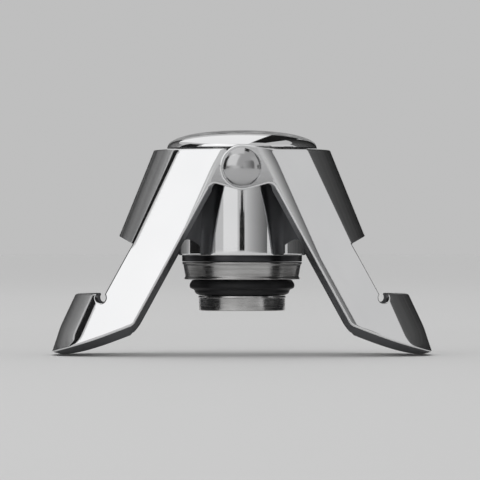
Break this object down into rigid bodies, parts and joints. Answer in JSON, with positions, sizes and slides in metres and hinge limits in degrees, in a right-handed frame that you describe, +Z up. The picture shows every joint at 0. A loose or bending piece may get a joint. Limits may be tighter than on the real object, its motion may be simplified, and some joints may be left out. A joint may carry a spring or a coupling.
{
  "type": "champagne stopper",
  "caption": "Winged stopper for sparkling-wine bottles: domed cap, polished bell and sprung rubber seal, with hinged arms that hook under the bottle's ring.",
  "frame": {"origin": "under the middle of the bottle's axis, level with the tips of the open wings, on which the stopper stands", "axes": "+Z up along the bottle's axis, +X towards the right wing, the cross pin along Y with its head at the front, -Y"},
  "size_m": [0.0746, 0.0386, 0.044],
  "materials": {
    "polished_chrome": "polished chrome plating",
    "brushed_steel": "turned and brushed stainless steel",
    "dark_steel": "dark oxidised steel, satin",
    "cast_zinc": "zinc die casting, as cast",
    "plain_steel": "plain machined steel",
    "brass": "turned brass bush",
    "rubber": "black moulded rubber"
  },
  "bodies": {
    "body": {"dome_cap": "polished_chrome", "body_shell": "polished_chrome", "body_core": "cast_zinc", "guide_plate": "plain_steel", "rod_bush": "brass", "cap_screw_left": "plain_steel", "cap_screw_right": "plain_steel", "hinge_pin": "polished_chrome", "pin_end_cap": "polished_chrome", "front_washer": "plain_steel", "rear_washer": "plain_steel", "compression_spring": "plain_steel"},
    "left_arm": {"left_arm": "polished_chrome"},
    "right_arm": {"right_arm": "polished_chrome"},
    "plunger": {"plunger_sleeve": "dark_steel", "plunger_rod": "plain_steel", "rod_clip": "dark_steel", "seal_cup": "brushed_steel", "gasket": "rubber", "lower_disc": "brushed_steel", "disc_screw": "plain_steel"}
  },
  "joints": [
    {"name": "left_arm_hinge", "type": "hinge", "parent": "body", "child": "left_arm", "pos_m": [0, 0, 0.03652], "axis": [0, -1, 0], "range_deg": [0, 28.7]},
    {"name": "right_arm_hinge", "type": "hinge", "parent": "body", "child": "right_arm", "pos_m": [0, 0, 0.03652], "axis": [0, 1, 0], "range_deg": [0, 28.7]},
    {"name": "plunger_slide", "type": "slide", "parent": "body", "child": "plunger", "axis": [0, 0, 1], "range_m": [0, 0.003], "stiffness_N_per_m": 3000, "springref_m": -0.002, "deforming": ["compression_spring"]}
  ]
}
